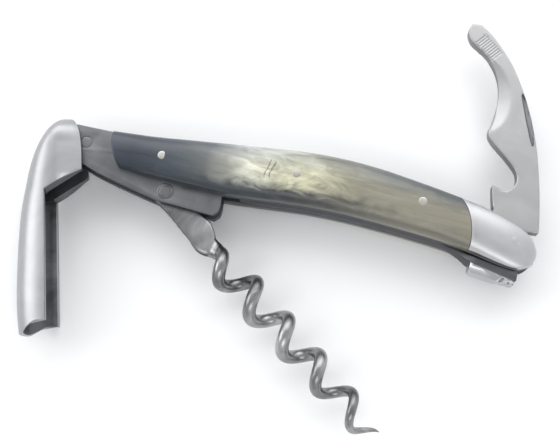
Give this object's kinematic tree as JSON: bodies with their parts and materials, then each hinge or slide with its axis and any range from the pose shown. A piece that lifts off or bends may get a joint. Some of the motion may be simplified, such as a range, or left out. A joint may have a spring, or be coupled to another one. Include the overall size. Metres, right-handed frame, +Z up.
{
  "type": "lever corkscrew",
  "caption": "Folding sommelier corkscrew: steel liners with horn scales and steel bolsters, a hinged channel lever, a hinged worm and a foil-cutter blade with a cap lifter.",
  "frame": {"origin": "centre of the flat crown of the lower scale, under the middle pin, at the level of the table the tool lies on", "axes": "+X from the lever hinge to the blade hinge, +Y to the back of the handle, +Z up through the handle's thickness"},
  "size_m": [0.1278, 0.1101, 0.016],
  "materials": {
    "horn": "polished pale and dark horn",
    "liner_steel": "fine brushed steel",
    "bolster_steel": "satin stainless steel",
    "lever_steel": "satin stainless steel",
    "blade_steel": "ground satin steel",
    "worm_steel": "polished grey steel",
    "spring_steel": "brushed spring steel",
    "ornament_steel": "bright polished facets",
    "pin_steel": "polished pins"
  },
  "bodies": {
    "handle": {"upper_liner": "liner_steel", "lower_liner": "liner_steel", "belly_spring": "spring_steel", "spring_ornament": "ornament_steel", "lever_spring": "spring_steel", "upper_scale": "horn", "lower_scale": "horn", "upper_bolster": "bolster_steel", "lower_bolster": "bolster_steel", "worm_pin": "pin_steel", "blade_pin": "pin_steel", "lever_pin": "pin_steel", "upper_scale_pins": "pin_steel", "lower_scale_pins": "pin_steel", "upper_bolster_rivets": "pin_steel", "lower_bolster_rivets": "pin_steel", "belly_spring_rivet": "pin_steel", "lever_spring_rivet": "pin_steel"},
    "lever": {"lever_shell": "lever_steel", "lever_tang": "lever_steel"},
    "worm": {"worm": "worm_steel"},
    "blade": {"blade": "blade_steel"}
  },
  "joints": [
    {"name": "worm_hinge", "type": "hinge", "parent": "handle", "child": "worm", "pos_m": [-0.0311, -0.0109, 0.008], "axis": [0, 0, 1], "range_deg": [-25, 30.5]},
    {"name": "lever_hinge", "type": "hinge", "parent": "handle", "child": "lever", "pos_m": [-0.0542, -0.00325, 0.008], "axis": [0, 0, 1], "range_deg": [-59.5, 72.5]},
    {"name": "blade_hinge", "type": "hinge", "parent": "handle", "child": "blade", "pos_m": [0.0553, -0.00325, 0.008], "axis": [0, 0, 1], "range_deg": [-112, 66]}
  ],
  "couplings": [
    {"joint": "lever_hinge", "follows": "worm_hinge", "ratio": 2.36}
  ]
}
